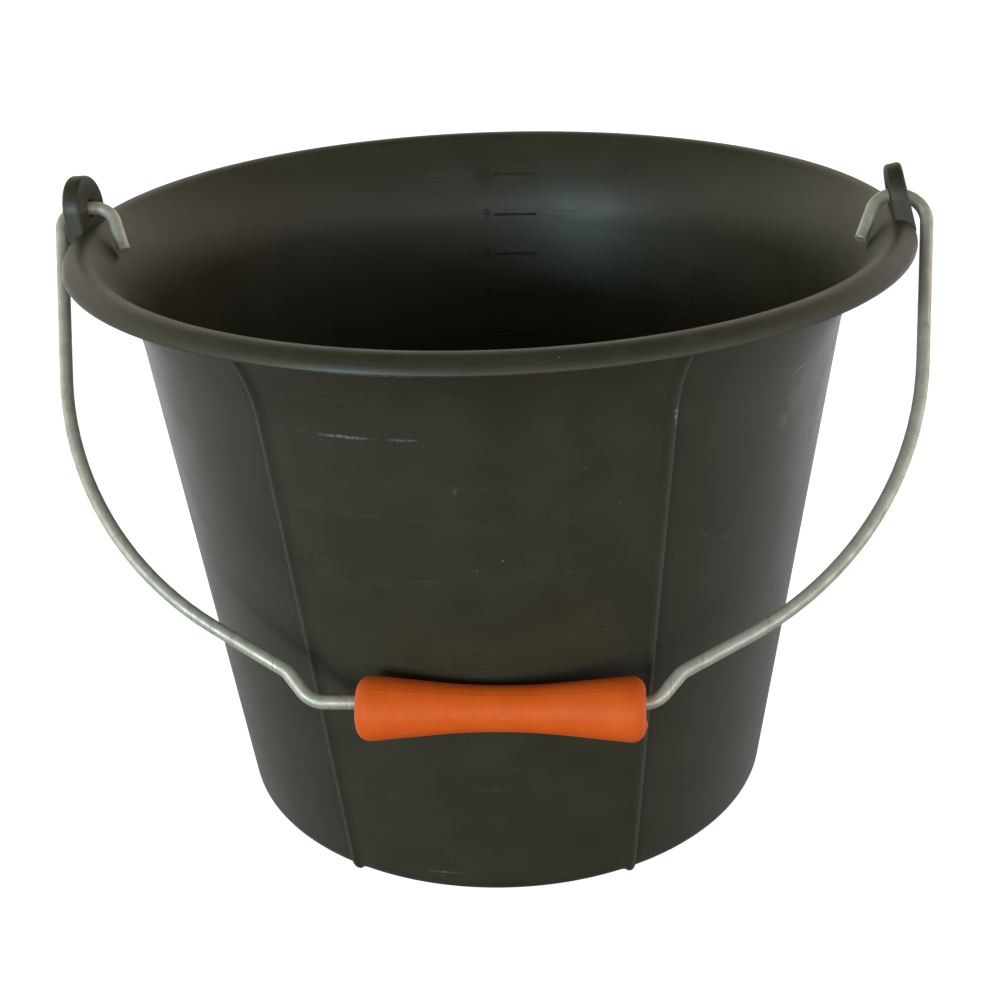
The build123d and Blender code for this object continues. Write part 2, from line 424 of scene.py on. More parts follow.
def grown(name, mesh, tree, values):
    """Plain mesh that a geometry tree makes from a starting mesh."""
    start = bpy.data.objects.new(name, mesh)
    bpy.context.scene.collection.objects.link(start)
    modifier = start.modifiers.new(tree.name, "NODES")
    modifier.node_group = tree
    for item in tree.interface.items_tree:
        if item.in_out == "INPUT" and item.name in values:
            modifier[item.identifier] = values[item.name]
    graph = bpy.context.evaluated_depsgraph_get()
    made = bpy.data.meshes.new_from_object(start.evaluated_get(graph))
    start.modifiers.clear()
    bpy.data.objects.remove(start)
    made.name = name
    return made


def turned_section_tree():
    """Turns a row of section points round an axis: the bucket and the grip are both made so."""
    tree, start, finish = geometry_tree("turned section", Segments="Int", Axis="Vector")
    section = start.outputs["Geometry"]
    count = add(tree, "GeometryNodeAttributeDomainSize", Geometry=section).outputs["Point Count"]
    columns = maths(tree, "ADD", start.outputs["Segments"], 1)
    grid = add(tree, "GeometryNodeMeshGrid", Vertices_X=columns, Vertices_Y=count)
    share = add(tree, "ShaderNodeSeparateXYZ", Vector=grid.outputs["UV Map"])
    last_row = maths(tree, "SUBTRACT", count, 1)
    row = maths(tree, "ROUND", maths(tree, "MULTIPLY", share.outputs["Y"], last_row))
    place_in_section = add(tree, "GeometryNodeInputPosition").outputs[0]
    point = add(tree, "GeometryNodeSampleIndex", {"data_type": "FLOAT_VECTOR"},
                Geometry=section, Value=place_in_section, Index=row)
    angle = maths(tree, "MULTIPLY", share.outputs["X"], 2 * pi)
    turned = add(tree, "ShaderNodeVectorRotate", Vector=point.outputs[0],
                 Axis=start.outputs["Axis"], Angle=angle)
    moved = add(tree, "GeometryNodeSetPosition", Geometry=grid.outputs["Mesh"], Position=turned.outputs[0])
    closed = add(tree, "GeometryNodeMergeByDistance", Geometry=moved.outputs[0], Distance=1e-6)
    return finished(tree, start, finish, closed)


def rib_ring_tree():
    """Sets the front pair of ribs again all round the bucket, evenly spaced."""
    tree, start, finish = geometry_tree("rib ring", Pairs="Int")
    index = add(tree, "GeometryNodeInputIndex").outputs[0]
    angle = maths(tree, "DIVIDE", maths(tree, "MULTIPLY", index, 2 * pi), start.outputs["Pairs"])
    turn = add(tree, "ShaderNodeCombineXYZ", Z=angle)
    points = add(tree, "GeometryNodePoints", Count=start.outputs["Pairs"])
    ring = add(tree, "GeometryNodeInstanceOnPoints", Points=points.outputs[0],
               Instance=start.outputs["Geometry"], Rotation=turn.outputs[0])
    return finished(tree, start, finish, ring)


def level_bar_tree():
    """Lays a raised bar on the wall at each level point, as wide round as the wall is there."""
    tree, start, finish = geometry_tree("level bars", Start="Float", Sweep="Float", Bar_Radius="Float")
    reach = stored(tree, "reach")
    size = add(tree, "ShaderNodeCombineXYZ", X=reach, Y=reach, Z=1.0)
    bend = add(tree, "GeometryNodeCurveArc", Resolution=bar_steps, Radius=1.0,
               Start_Angle=start.outputs["Start"], Sweep_Angle=start.outputs["Sweep"])
    levels = add(tree, "GeometryNodeInstanceOnPoints", Points=start.outputs["Geometry"],
                 Instance=bend.outputs[0], Scale=size.outputs[0])
    lines = add(tree, "GeometryNodeRealizeInstances", Geometry=levels.outputs[0])
    ring = add(tree, "GeometryNodeCurvePrimitiveCircle", Resolution=bar_sides,
               Radius=start.outputs["Bar Radius"])
    bars = add(tree, "GeometryNodeCurveToMesh", Curve=lines.outputs[0],
               Profile_Curve=ring.outputs[0], Fill_Caps=True)
    return finished(tree, start, finish, bars)


def bent_wire_tree():
    """Bends a wire round the corners of its route, each with its own bend, and gives it its thickness."""
    tree, start, finish = geometry_tree("bent wire", Wire_Radius="Float")
    route = add(tree, "GeometryNodeMeshToCurve", Mesh=start.outputs["Geometry"])
    bent = add(tree, "GeometryNodeFilletCurve", {"mode": "POLY"}, Curve=route.outputs[0],
               Count=bend_steps, Radius=stored(tree, "bend"))
    ring = add(tree, "GeometryNodeCurvePrimitiveCircle", Resolution=wire_sides,
               Radius=start.outputs["Wire Radius"])
    wire = add(tree, "GeometryNodeCurveToMesh", Curve=bent.outputs[0], Profile_Curve=ring.outputs[0],
               Scale=stored(tree, "girth"), Fill_Caps=True)
    return finished(tree, start, finish, wire)


# Shapes of the pieces
def rib_stations():
    """Places along a rib, from under the foot's corner to the lip: point, way out and height of the rib."""
    stations = []
    for angle in (radians(degrees) for degrees in rib_foot_angles):
        normal = Vector((cos(angle), sin(angle)))
        rise = min(rib_height, corner_radius / -sin(angle) - corner_radius)
        stations.append((corner_centre + normal * corner_radius, normal, rise))
    wall_top = polar(flare_centre, flare_radius - wall, flare_start_angle)
    wall_bottom = polar(corner_centre, corner_radius, -taper)
    for i in range(1, rib_wall_steps + 1):
        stations.append((wall_bottom.lerp(wall_top, i / rib_wall_steps), out_of_wall, rib_height))
    for i in range(1, rib_flare_steps + 1):
        angle = flare_start_angle + (flare_end_angle - flare_start_angle) * i / rib_flare_steps
        normal = -Vector((cos(angle), sin(angle)))
        rise = rib_height * min(1, (rib_flare_steps + 1 - i) / rib_fade_steps)
        stations.append((polar(flare_centre, flare_radius - wall, angle), normal, rise))
    return stations


def rib_pair_mesh():
    """Two ribs at the front: up the wall from the foot and along the flare to the lip's underside."""
    strands, crests = [], []
    for side in SIDES:
        rings = []
        for point, normal, rise in rib_stations():
            share_up = point.y / lip_height
            spread = rib_foot_spreads[side] * (1 - share_up) + rib_top_spreads[side] * share_up
            turn = side * spread - pi / 2
            ring = []
            for width, share in rib_section:
                lifted = rise * share if share > 0 else rib_root * share - rib_sink
                out, across = point.x + normal.x * lifted, side * width * MM
                ring.append((out * cos(turn) - across * sin(turn), out * sin(turn) + across * cos(turn),
                             point.y + normal.y * lifted))
                # Share of the way up to the crest, where the finish paints a pale highlight
                crests.append(max(0, share - rib_crest_share) / (1 - rib_crest_share))
            rings.append(ring)
        strands.append(rings)
    return marked(ring_mesh("ribs", *strands), "crest", crests)


def ear_mesh(side):
    """Rounded tab on the lip with a hole for the wire, leaning as the photographed one does."""
    lean, ear_radius = ear_leans[side], ear_radii[side]
    foot_thickness, top_thickness = ear_foot_thicknesses[side], ear_top_thicknesses[side]
    drop = (lip_hang - lip_height + pivot.z) / cos(lean)
    middle = rim_radius + ear_outer_steps[side] - foot_thickness / (2 * cos(lean)) - drop * sin(lean)
    centre = Vector((side * middle, 0, pivot.z))
    outward = Vector((side * cos(lean), 0, sin(lean)))
    upward = Vector((-side * sin(lean), 0, cos(lean)))
    corner = Vector((ear_foot_width / 2, -drop))
    corner_angle = atan2(corner.y, corner.x)
    tangent = corner_angle + acos(ear_radius / corner.length)

    def edge(angle):
        """Distance from the hole's centre to the ear's edge."""
        lifted = angle if cos(angle) >= 0 else pi - angle
        lifted = (lifted + pi) % (2 * pi) - pi
        if lifted >= tangent:
            return ear_radius
        if lifted > corner_angle:
            return ear_radius / cos(lifted - tangent)
        return drop / -sin(lifted)

    def on_face(distance, angle, face, sunk):
        """Point at a distance from the hole, on the outer or inner face.

        The hole runs level, and the outer face is drawn in at the back to clear the wire.
        """
        up, along = distance * sin(angle), distance * cos(angle)
        thick = foot_thickness + (top_thickness - foot_thickness) * (up + drop) / (ear_radius + drop)
        off = face * (thick / 2 - sunk)
        if face > 0:
            off -= ear_back_slopes[side] * max(0, along)
        hole_radius = ear_hole_radii[face]
        level = max(0, 1 - (distance - hole_radius) / (ear_radius - hole_radius))
        lifted = upward * (up - off * tan(lean) * level)
        return tuple(centre + Vector((0, along, 0)) + lifted + outward * off)

    # Rings from the hole to the edge: share of the way to the edge, reach beyond it, depth under the face
    quarter = [i * pi / 8 for i in range(4, -1, -1)]
    border = [(1, -ear_edge_round * (1 - cos(a)), ear_edge_round * (1 - sin(a))) for a in quarter]
    angles = [2 * pi * c / ear_columns for c in range(ear_columns)]
    rings = []
    for face in (1, -1):
        mouth = ear_hole_radii[face] + ear_hole_round
        hole = [(0, ear_hole_radii[face] + ear_hole_round * (1 - sin(a)), ear_hole_round * (1 - cos(a)))
                for a in quarter]
        broad = [(share, mouth * (1 - share) - ear_edge_round * share, 0) for share in ear_face_shares]
        for share, reach, sunk in (hole + broad + border)[::face]:
            rings.append([on_face(share * edge(angle) + reach, angle, face, sunk) for angle in angles])
    mesh = ring_mesh("ear", rings + rings[:1])
    turn = Matrix.Rotation(ear_turns[side], 4, "Z")
    mesh.transform(Matrix.Translation(centre) @ turn @ Matrix.Translation(-centre))
    for vertex in mesh.vertices:
        vertex.co.x -= side * vertex.co.y**2 / (2 * rim_radius)
    return mesh


def level_number_mesh(litres):
    """Raised number on the inside of the back wall, beside its bar."""
    text = bpy.data.curves.new("number", "FONT")
    text.body = str(litres)
    text.size = level_number_size
    text.align_x, text.align_y = "RIGHT", "CENTER"
    text.extrude = level_number_relief
    text.resolution_u = number_curve_steps
    flat = bpy.data.objects.new("number", text)
    bpy.context.scene.collection.objects.link(flat)
    graph = bpy.context.evaluated_depsgraph_get()
    mesh = bpy.data.meshes.new_from_object(flat.evaluated_get(graph))
    bpy.data.objects.remove(flat)
    middle = level_height(litres)
    for vertex in mesh.vertices:
        height = middle + vertex.co.y
        reach = inner_radius(height) - vertex.co.z
        turn = level_number_turn + vertex.co.x / inner_radius(middle)
        vertex.co = (reach * sin(turn), reach * cos(turn), height)
    return with_grime(mesh, level_number_painted_shade)


def bail_half(side):
    """Corners of the wire on one side, from the hook's tip to the straight run, and the bend at each."""
    lean, fall = leg_leans[side], shoulder_slopes[side]
    leg_across = rim_radius + leg_gap + wire_radius - lean * (pivot.z - roll_centre.y) / reach_direction.z
    hook_corner = Vector((rim_radius - hook_setback, 0))
    to_tip = Vector((-sin(hook_lean), cos(hook_lean)))
    run_start = (grip_length + grip_play) / 2 + kink_bend_inner * tan(kink_slope / 2)
    run_across = run_start + side * run_side_step
    kink_across = run_across + kink_reach / tan(kink_slope)
    kink_down = bail_reach - kink_reach
    shoulder_across = (leg_across - lean * (kink_down + fall * kink_across)) / (1 - lean * fall)
    corners = [
        (hook_corner + to_tip * hook_length, 0),
        (hook_corner + to_tip * (hook_length - tip_chamfer), 0),
        (hook_corner, hook_bend),
        (Vector((leg_across, 0)), leg_bends[side]),
        (Vector((shoulder_across, (leg_across - shoulder_across) / lean)), shoulder_bend),
        (Vector((kink_across, kink_down)), kink_bend_outer),
        (Vector((run_across, bail_reach)), kink_bend_inner)]
    points = [pivot + Vector((side * corner.x, 0, 0)) + reach_direction * corner.y
              for corner, bend in corners]
    return points, [bend for corner, bend in corners]


def bail_route():
    """Row of the wire's corners from tip to tip, with the bend and the girth at each."""
    right_points, right_bends = bail_half(1)
    left_points, left_bends = bail_half(-1)
    girths = [1 - tip_chamfer / wire_radius] + [1] * (len(right_points) - 1)
    return line_mesh("route", right_points + left_points[::-1], bend=right_bends + left_bends[::-1],
                     girth=girths + girths[::-1])


def grip_seam_mesh():
    """Raised seam along the grip on its two opposite sides, and the mark of the gate on its right end."""
    outer = [point for point in grip_section() if point.y > grip_waist_radius - grip_seam_margin]
    half, height, shoulder = grip_seam_half_width, grip_seam_height, grip_seam_height * 0.8
    root, sink = grip_seam_root, grip_seam_edge_sink
    profile = [(half, -root), (half, -sink), (half / 2, shoulder), (0, height),
               (-half / 2, shoulder), (-half, -sink), (-half, -root)]
    strands = []
    for turn in (grip_seam_turn, grip_seam_turn + pi):
        out, along = Vector((0, -cos(turn), sin(turn))), Vector((0, sin(turn), cos(turn)))
        rings = []
        for point in outer:
            middle = grip_centre + Vector((point.x, 0, 0))
            rings.append([tuple(middle + out * (point.y + rise) + along * aside)
                          for aside, rise in profile])
        strands.append(rings)
    gate = grip_centre + gate_place
    angles = [pi * c / 8 for c in range(16)]
    rings = []
    for out, wide in ((out * MM, wide * MM) for out, wide in gate_rounds):
        rings.append([tuple(gate + Vector((out, wide * gate_flatness * cos(a), wide * sin(a))))
                      for a in angles])
    strands.append(rings)
    return ring_mesh("grip seam", *strands)


# Effects that the finishes share
def moulded_grain_group():
    """Fine moulding grain and broad mottle of a surface."""
    group, start, finish = node_group(
        "ShaderNodeTree", "moulded grain",
        {"Place": "Vector", "Grain Scale": "Float", "Mottle Scale": "Float"},
        {"Height": "Float", "Mottle": "Float"})
    grain = noise(group, start.outputs["Place"], start.outputs["Grain Scale"], 3.0, 0.6)
    mottle = noise(group, start.outputs["Place"], start.outputs["Mottle Scale"], 5.0, 0.62)
    group.links.new(grain, finish.inputs["Height"])
    group.links.new(ranged(group, mottle, 0.3, 0.7), finish.inputs["Mottle"])
    return group


def scuff_group():
    """One pale patch, used for rubbed wear and for painted sheen: soft edged, turned and broken up."""
    group, start, finish = node_group(
        "ShaderNodeTree", "pale_patch",
        {"Place": "Vector", "Centre": "Vector", "Half Size": "Vector", "Turn": "Float", "Wear": "Float"},
        {"Mask": "Float"})
    centre = start.outputs["Centre"]
    turned = add(group, "ShaderNodeVectorRotate", {"rotation_type": "Z_AXIS"},
                 Vector=start.outputs["Place"], Center=centre, Angle=start.outputs["Turn"])
    away = vector_maths(group, "SUBTRACT", turned.outputs[0], centre)
    reach = vector_maths(group, "LENGTH", vector_maths(group, "DIVIDE", away, start.outputs["Half Size"]))
    patch = ranged(group, reach, 1.0, 0.15)
    wear = maths(group, "ADD", start.outputs["Wear"], maths(group, "MULTIPLY", patch, 0.18))
    worn = ranged(group, wear, 0.55, 0.72)
    group.links.new(maths(group, "MULTIPLY", patch, worn), finish.inputs["Mask"])
    return group


def hairline_group():
    """Sparse thin scratches, drawn out along one way of the surface."""
    group, start, finish = node_group(
        "ShaderNodeTree", "hairlines",
        {"Place": "Vector", "Stretch": "Vector", "Width": "Float"}, {"Mask": "Float"})
    drawn = vector_maths(group, "MULTIPLY", start.outputs["Place"], start.outputs["Stretch"])
    off = maths(group, "ABSOLUTE", maths(group, "SUBTRACT", noise(group, drawn, 1.0, 2.0), 0.5))
    line = ranged(group, off, start.outputs["Width"], 0.0)
    here = ranged(group, noise(group, drawn, 0.35, 1.0), 0.52, 0.66)
    group.links.new(maths(group, "MULTIPLY", line, here), finish.inputs["Mask"])
    return group


moulded_grain, pale_patch, hairlines = moulded_grain_group(), scuff_group(), hairline_group()

# Colours of the finishes
olive_deep, olive_light = (0.0335, 0.0308, 0.0165), (0.0420, 0.0388, 0.0215)
# The pale colour serves rubbed wear, painted sheen and the painted highlight on the rib crests; the darkest
# colour is painted shade on the level scale
olive_speck, olive_wear_and_sheen, painted_shade_colour = (0.058, 0.055, 0.036), (0.33, 0.35, 0.34), (0.011, 0.010, 0.006)
zinc_dull, zinc_bright, zinc_scratch = (0.53, 0.515, 0.42), (0.71, 0.69, 0.57), (0.16, 0.16, 0.14)
orange_deep, orange_light, orange_rubbed = (0.85, 0.121, 0.011), (0.93, 0.145, 0.016), (0.82, 0.42, 0.26)

# Rubbed places on the outside wall: degrees from the front, then height, half length and
# half height in mm, turn in degrees and strength
wall_scuffs = [
    (-17.0, 198.9, 17.0, 1.1, -1, 0.5), (-8.7, 199.3, 9.5, 0.9, -1, 0.4), (30.1, 201.5, 1.2, 7.0, -2, 0.7),
    (57.8, 201.4, 15.0, 1.0, -6, 0.7), (52.6, 205.0, 0.9, 8.0, 8, 0.14), (-50.0, 211.0, 18.0, 1.0, -3, 0.2),
    (-1.7, 180.5, 1.8, 3.0, 0, 0.16), (4.7, 153.0, 0.7, 0.7, 0, 0.9), (-9.0, 10.4, 16.0, 0.8, -2, 0.3),
    (-9.0, 231.0, 30.0, 1.2, 0, 0.35), (38.0, 150.0, 9.0, 1.0, 40, 0.10),
    (-33.0, 120.0, 8.0, 0.9, -50, 0.10), (150.0, 190.0, 20.0, 2.0, 10, 0.3),
    (-160.0, 120.0, 14.0, 5.0, -20, 0.2), (110.0, 90.0, 10.0, 1.2, 45, 0.25),
    (-105.0, 150.0, 16.0, 1.6, 8, 0.25)]
# Pale patches: painted sheen high on the side walls where they catch light, and pale bloom on the back
wall_sheen_and_bloom = [
    (58.0, 190.5, 11.0, 14.0, 12, 0.22), (54.0, 183.0, 7.0, 5.5, 0, 0.15),
    (-63.0, 206.0, 16.0, 12.0, 0, 0.05), (128.0, 170.0, 22.0, 14.0, -15, 0.06)]
wall_place_radius = 135 * MM


def material(name):
    """New node material with its shader."""
    made = bpy.data.materials.new(name)
    made.use_nodes = True
    return made, made.node_tree, made.node_tree.nodes["Principled BSDF"]


def object_place(tree):
    """Output of the place on the object."""
    return add(tree, "ShaderNodeTexCoord").outputs["Object"]


def effect(tree, group, **values):
    """A shared effect placed in a material with its own values."""
    return add(tree, "ShaderNodeGroup", {"node_tree": group}, **values)


def dusted(tree, spot, scale, edge, core):
    """Output of a mask of sparse dust specks, each fading from its core to its edge."""
    specks = add(tree, "ShaderNodeTexVoronoi", Vector=spot, Scale=scale)
    return maths(tree, "MULTIPLY", ranged(tree, specks.outputs["Distance"], edge, core), 0.3)


def bumped(tree, shader, strength, distance, height):
    """Gives a shader its fine relief."""
    bump = add(tree, "ShaderNodeBump", Strength=strength, Distance=distance, Height=height)
    tree.links.new(bump.outputs[0], shader.inputs["Normal"])


def rubbed_wall(tree, wall_place, fine_wear):
    """Output of a mask of all the rubbed places on the wall and the pale patches of painted sheen and
    bloom.
    """
    broad_breakup = maths(tree, "ADD", noise(tree, wall_place, 110.0, 4.0, 0.6), 0.1)
    wear_and_sheen = 0.0
    for wear, patches in ((fine_wear, wall_scuffs), (broad_breakup, wall_sheen_and_bloom)):
        for angle, height, half_length, half_height, lie, strength in patches:
            patch = effect(tree, pale_patch, Place=wall_place, Turn=radians(lie), Wear=wear,
                           Centre=(radians(angle) * wall_place_radius, height * MM, 0),
                           Half_Size=(half_length * MM, half_height * MM, 1))
            mask = maths(tree, "MULTIPLY", patch.outputs["Mask"], strength)
            wear_and_sheen = maths(tree, "MAXIMUM", wear_and_sheen, mask)
    return wear_and_sheen


def bucket_finish():
    """Olive black moulded plastic, mottled, rubbed and dusty, with painted sheen high on the side walls, a
    painted highlight on the rib crests and painted shade on the level scale.
    """
    made, tree, shader = material("bucket plastic")
    spot = object_place(tree)
    axes = add(tree, "ShaderNodeSeparateXYZ", Vector=spot)
    turn = maths(tree, "ARCTAN2", axes.outputs["X"], maths(tree, "MULTIPLY", axes.outputs["Y"], -1.0))
    around = maths(tree, "MULTIPLY", turn, wall_place_radius)
    wall_place = add(tree, "ShaderNodeCombineXYZ", X=around, Y=axes.outputs["Z"]).outputs[0]
    radius = vector_maths(tree, "LENGTH", vector_maths(tree, "MULTIPLY", spot, (1, 1, 0)))
    cone = maths(tree, "SUBTRACT", radius, maths(tree, "MULTIPLY", axes.outputs["Z"], tan(taper)))
    outside = ranged(tree, cone, base_radius - 0.7 * wall, base_radius - 0.3 * wall)

    fine_wear = noise(tree, wall_place, 900.0, 4.0, 0.7)
    # Rubbed wear and painted sheen, kept to the outside of the wall
    wear_and_sheen = maths(tree, "MULTIPLY", rubbed_wall(tree, wall_place, fine_wear), outside)
    grain = effect(tree, moulded_grain, Place=spot, Grain_Scale=1600.0, Mottle_Scale=45.0)
    drawn = effect(tree, hairlines, Place=wall_place, Stretch=(30.0, 420.0, 1.0), Width=0.012)
    scratches = drawn.outputs["Mask"]
    # Painted highlight: the rib crests are painted pale where light catches them, broken up by noise
    crest = add(tree, "ShaderNodeAttribute", {"attribute_name": "crest"}).outputs["Fac"]
    crest_highlight_paint = maths(tree, "MULTIPLY", crest, ranged(tree, fine_wear, 0.3, 0.7, 0.05, 0.15))
    # Painted shade: the level scale's bars and numbers are darkened as if in their own shadow
    painted_shade = add(tree, "ShaderNodeAttribute", {"attribute_name": "painted_shade"}).outputs["Fac"]
    # Pale marks: rubbed wear, dust and scratches, with painted sheen on the side walls and a painted
    # highlight on the rib crests
    pale = wear_and_sheen
    dust = dusted(tree, spot, 95.0, 0.045, 0.02)
    for mask in (dust, maths(tree, "MULTIPLY", scratches, 0.05), crest_highlight_paint):
        pale = maths(tree, "MAXIMUM", pale, mask)

    olive = mixed(tree, grain.outputs["Mottle"], olive_deep, olive_light)
    speckled = mixed(tree, ranged(tree, grain.outputs["Height"], 0.35, 0.65, 0.0, 0.22), olive, olive_speck)
    shade_painted = mixed(tree, painted_shade, speckled, painted_shade_colour)
    tree.links.new(mixed(tree, pale, shade_painted, olive_wear_and_sheen), shader.inputs["Base Color"])

    rough = maths(tree, "MULTIPLY_ADD", grain.outputs["Mottle"], 0.07, 0.40)
    worn = maths(tree, "ADD", maths(tree, "MULTIPLY", pale, 0.3), maths(tree, "MULTIPLY", painted_shade, 0.4))
    tree.links.new(maths(tree, "ADD", rough, worn), shader.inputs["Roughness"])

    flow = noise(tree, vector_maths(tree, "MULTIPLY", wall_place, (130.0, 7.0, 1.0)), 1.0, 3.0)
    relief = maths(tree, "ADD", maths(tree, "MULTIPLY", grain.outputs["Height"], 0.10),
                   maths(tree, "MULTIPLY", flow, 0.35))
    relief = maths(tree, "SUBTRACT", relief, maths(tree, "MULTIPLY", scratches, 0.25))
    bumped(tree, shader, 0.35, 0.4 * MM, relief)
    return made


def wire_finish():
    """Dull galvanised steel wire, mottled and scratched along its run."""
    made, tree, shader = material("galvanised wire")
    spot = object_place(tree)
    grain = effect(tree, moulded_grain, Place=spot, Grain_Scale=900.0, Mottle_Scale=160.0)
    drawn = effect(tree, hairlines, Place=spot, Stretch=(500.0, 60.0, 60.0), Width=0.03)
    zinc = mixed(tree, grain.outputs["Mottle"], zinc_dull, zinc_bright)
    scratched = maths(tree, "MULTIPLY", drawn.outputs["Mask"], 0.5)
    tree.links.new(mixed(tree, scratched, zinc, zinc_scratch), shader.inputs["Base Color"])
    shader.inputs["Metallic"].default_value = 0.45
    rough = maths(tree, "MULTIPLY_ADD", grain.outputs["Mottle"], -0.14, 0.52)
    tree.links.new(rough, shader.inputs["Roughness"])
    bumped(tree, shader, 0.3, 0.3 * MM, grain.outputs["Height"])
    return made


def grip_finish():
    """Satin orange plastic with a little dust and one nick on the front."""
    made, tree, shader = material("orange grip plastic")
    spot = object_place(tree)
    grain = effect(tree, moulded_grain, Place=spot, Grain_Scale=1400.0, Mottle_Scale=70.0)
    orange = mixed(tree, grain.outputs["Mottle"], orange_deep, orange_light)
    nick = effect(tree, pale_patch, Place=spot, Turn=0.0, Wear=grain.outputs["Height"],
                  Centre=(9.5 * MM, grip_centre.y - 8 * MM, grip_centre.z + 1 * MM),
                  Half_Size=(2.4 * MM, 4 * MM, 1.0 * MM))
    pale = maths(tree, "MAXIMUM", dusted(tree, spot, 170.0, 0.06, 0.03),
                 maths(tree, "MULTIPLY", nick.outputs["Mask"], 0.3))
    tree.links.new(mixed(tree, pale, orange, orange_rubbed), shader.inputs["Base Color"])
    rough = maths(tree, "MULTIPLY_ADD", grain.outputs["Mottle"], 0.08, 0.46)
    tree.links.new(rough, shader.inputs["Roughness"])
    shader.inputs["Specular IOR Level"].default_value = 0.25
    bumped(tree, shader, 0.2, 0.3 * MM, grain.outputs["Height"])
    return made


bucket_plastic, bail_steel, grip_plastic = bucket_finish(), wire_finish(), grip_finish()

# Bucket
turned = turned_section_tree()
section = [(point.x, 0, point.y) for point in bucket_section()]
wall_mesh = grown("bucket_wall", line_mesh("section", section), turned, {
    "Segments": bucket_segments, "Axis": (0, 0, 1), "Material": bucket_plastic})
wall_piece = place("bucket_wall", wall_mesh, "bucket")
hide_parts("bucket_shell")
rib_mesh = grown("bucket_ribs", rib_pair_mesh(), rib_ring_tree(), {
    "Pairs": rib_pairs, "Material": bucket_plastic})
place("bucket_ribs", rib_mesh, "bucket")
for side, label in SIDES.items():
    place("bucket_ear_" + label, ear_mesh(side), "bucket", bucket_plastic)
levels = [(0, 0, level_height(litres)) for litres in level_litres]
reaches = [inner_radius(level[2]) + level_bar_radius - level_bar_relief for level in levels]
level_bars = grown("level_bars", line_mesh("levels", levels, reach=reaches), level_bar_tree(), {
    "Start": level_bar_start, "Sweep": level_bar_sweep, "Bar Radius": level_bar_radius,
    "Material": bucket_plastic})
place("level_bars", with_grime(level_bars, level_bar_painted_shade), "bucket")
for litres in level_litres:
    place(f"level_number_{litres}", level_number_mesh(litres), "bucket", bucket_plastic)

# Bail and grip
wire_mesh = grown("wire", bail_route(), bent_wire_tree(), {
    "Wire Radius": wire_radius, "Material": bail_steel})
wire = place("wire", wire_mesh, "bail")
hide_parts("wire_bail")
grip_points = [(point.x, 0, point.y) for point in grip_section()]
grip_mesh = grown("grip", line_mesh("grip section", grip_points), turned, {
    "Segments": grip_segments, "Axis": (1, 0, 0), "Material": grip_plastic})
grip_mesh.transform(Matrix.Translation(grip_centre))
grip = place("grip", grip_mesh, "grip")
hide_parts("hand_grip")
place("grip_seam", grip_seam_mesh(), "grip", grip_plastic)


# Floor, light and camera
def pale_floor(half_width):
    """Plain pale floor that is seen but neither shades nor lights the bucket."""
    ground = bpy.data.meshes.new("floor")
    corners = [(x * half_width, y * half_width, 0) for x, y in ((-1, -1), (1, -1), (1, 1), (-1, 1))]
    ground.from_pydata(corners, [], [(0, 1, 2, 3)])
    floor = bpy.data.objects.new("floor", ground)
    bpy.context.scene.collection.objects.link(floor)
    paint, _, shader = material("pale floor")
    shader.inputs["Base Color"].default_value = (0.9, 0.9, 0.9, 1)
    shader.inputs["Roughness"].default_value = 0.8
    shader.inputs["Emission Color"].default_value = (1, 1, 1, 1)
    shader.inputs["Emission Strength"].default_value = 0.9
    ground.materials.append(paint)
    floor.visible_diffuse = False
    floor.visible_glossy = False
    floor.visible_shadow = False
    return floor


floor = pale_floor(half_width=8)

# Studio: a low bright band in front, bright floor at the sides and behind, dim overhead
# (elevation in degrees, brightness)
front_glow = [
    (-90, 0.03), (-40, 0.10), (-12, 0.08), (-3, 0.10), (0.5, 3.6), (5, 4.0), (9, 3.8), (12, 1.9),
    (16, 0.45), (25, 0.16), (45, 0.07), (90, 0.03)]
back_glow = [
    (-90, 0.04), (-50, 0.30), (-30, 0.60), (-20, 1.85), (-13, 1.85), (-6, 1.0), (0, 0.6), (5, 0.55),
    (12, 0.9), (25, 1.0), (38, 0.4), (50, 0.12), (90, 0.03)]
most_glow = 6.0
backdrop_glow = 1.1
floor_shade = 0.7
front_tint, back_sky_tint = (0.985, 0.985, 1.03), (1.05, 0.985, 0.82)


def glow_ramp(tree, rise, stops):
    """Brightness of the surroundings by elevation, as a share of the most."""
    node = add(tree, "ShaderNodeValToRGB", Fac=rise)
    while len(node.color_ramp.elements) < len(stops):
        node.color_ramp.elements.new(0.5)
    for element, (degrees, brightness) in zip(node.color_ramp.elements, stops):
        element.position = (degrees + 90) / 180
        element.color = (brightness / most_glow,) * 3 + (1,)
    return node.outputs[0]


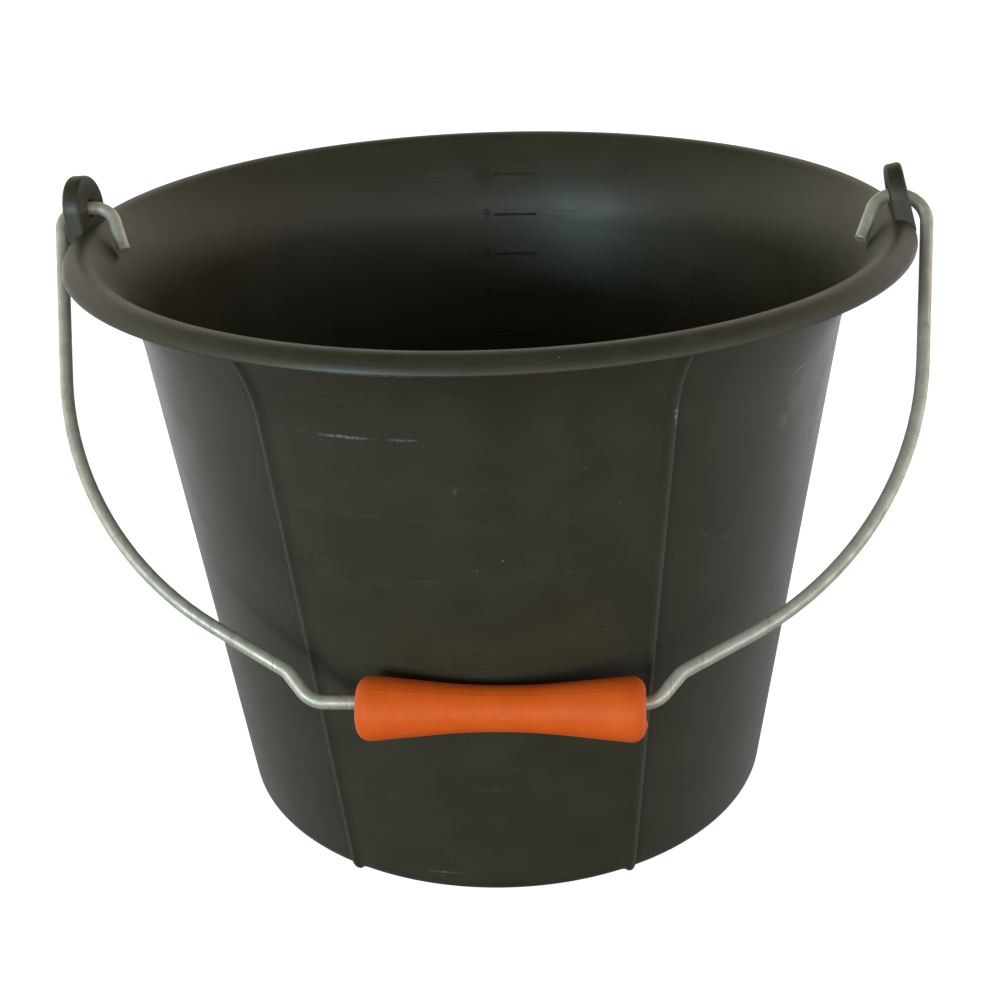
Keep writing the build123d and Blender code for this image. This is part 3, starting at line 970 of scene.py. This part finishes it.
def studio():
    """Surroundings that light the bucket, white where the camera sees them."""
    world = bpy.data.worlds.new("studio")
    world.use_nodes = True
    tree = world.node_tree
    backdrop = tree.nodes["Background"]
    direction = add(tree, "ShaderNodeTexCoord").outputs["Generated"]
    way = add(tree, "ShaderNodeSeparateXYZ", Vector=direction).outputs
    rise = maths(tree, "DIVIDE", maths(tree, "ADD", maths(tree, "ARCSINE", way["Z"]), pi / 2), pi)
    from_front = maths(tree, "ARCTAN2", way["X"], maths(tree, "MULTIPLY", way["Y"], -1.0))
    turn = maths(tree, "ABSOLUTE", from_front)
    sky_turn = ranged(tree, turn, radians(20), radians(95))
    floor_turn = ranged(tree, turn, radians(45), radians(145))
    above = maths(tree, "GREATER_THAN", way["Z"], 0.0)
    behind = add(tree, "ShaderNodeMix", _0=above, _2=floor_turn, _3=sky_turn).outputs[0]
    seen = add(tree, "ShaderNodeLightPath").outputs["Is Camera Ray"]
    tint = mixed(tree, maths(tree, "MULTIPLY", behind, above), front_tint, back_sky_tint)
    tree.links.new(mixed(tree, seen, tint, (1, 1, 1)), backdrop.inputs["Color"])
    glow = mixed(tree, behind, glow_ramp(tree, rise, front_glow), glow_ramp(tree, rise, back_glow))
    bright = maths(tree, "MULTIPLY", add(tree, "ShaderNodeRGBToBW", Color=glow).outputs[0], most_glow)
    # The floor's light is weaker in a band a little to the right of the middle
    shade = maths(tree, "MAXIMUM", ranged(tree, way["X"], -0.2, 0.1, 1.0, floor_shade),
                  ranged(tree, way["X"], 0.2, 0.6, floor_shade, 1.0))
    shaded = add(tree, "ShaderNodeMix", _0=above, _2=shade, _3=1.0).outputs[0]
    bright = maths(tree, "MULTIPLY", bright, shaded)
    white = maths(tree, "MULTIPLY", seen, backdrop_glow)
    tree.links.new(maths(tree, "MAXIMUM", bright, white), backdrop.inputs["Strength"])
    return world


def away_from(turn, rise):
    """Way from the bucket to a place at a turn round it and a rise above it."""
    return Vector((sin(turn) * cos(rise), -cos(turn) * cos(rise), sin(rise)))


light_aim = Vector((0, 0, 0.2))


def soft_light(name, turn, rise, distance, width, height, power, colour):
    """Studio light, aimed at the bucket from a turn round it and a rise above it."""
    lamp = bpy.data.lights.new(name, "AREA")
    lamp.shape = "RECTANGLE"
    lamp.size, lamp.size_y = width, height
    lamp.energy = power
    lamp.color = colour
    light = bpy.data.objects.new(name, lamp)
    away = away_from(turn, rise)
    light.location = light_aim + away * distance
    light.rotation_euler = (-away).to_track_quat("-Z", "Y").to_euler()
    light.visible_camera = False
    bpy.context.scene.collection.objects.link(light)


def photo_camera(turn, rise, roll, aim, distance, lens_ratio, shift):
    """Camera at the photograph's angle; the lens ratio is its length over the sensor's width."""
    lens = bpy.data.cameras.new("camera")
    lens.sensor_width = 36
    lens.lens = lens_ratio * lens.sensor_width
    lens.shift_x, lens.shift_y = shift
    back = away_from(turn, rise)
    level_right = Vector((cos(turn), sin(turn), 0))
    level_up = back.cross(level_right)
    right = level_right * cos(roll) - level_up * sin(roll)
    up = level_right * sin(roll) + level_up * cos(roll)
    camera = bpy.data.objects.new("camera", lens)
    facing = Matrix((right, up, back)).transposed().to_4x4()
    camera.matrix_world = Matrix.Translation(aim + back * distance) @ facing
    bpy.context.scene.collection.objects.link(camera)
    return camera


bpy.context.scene.world = studio()
soft_light("window", turn=radians(-31), rise=radians(11.5), distance=2.2, width=0.36, height=0.22, power=12,
           colour=(0.56, 0.9, 1))
bpy.context.scene.view_settings.view_transform = "Standard"
bpy.context.scene.camera = photo_camera(
    turn=radians(4.4), rise=radians(23.468), roll=radians(2.083), aim=Vector((0, 0, 0.130)),
    distance=0.694592, lens_ratio=1.683766, shift=(0.0025, -0.0288))
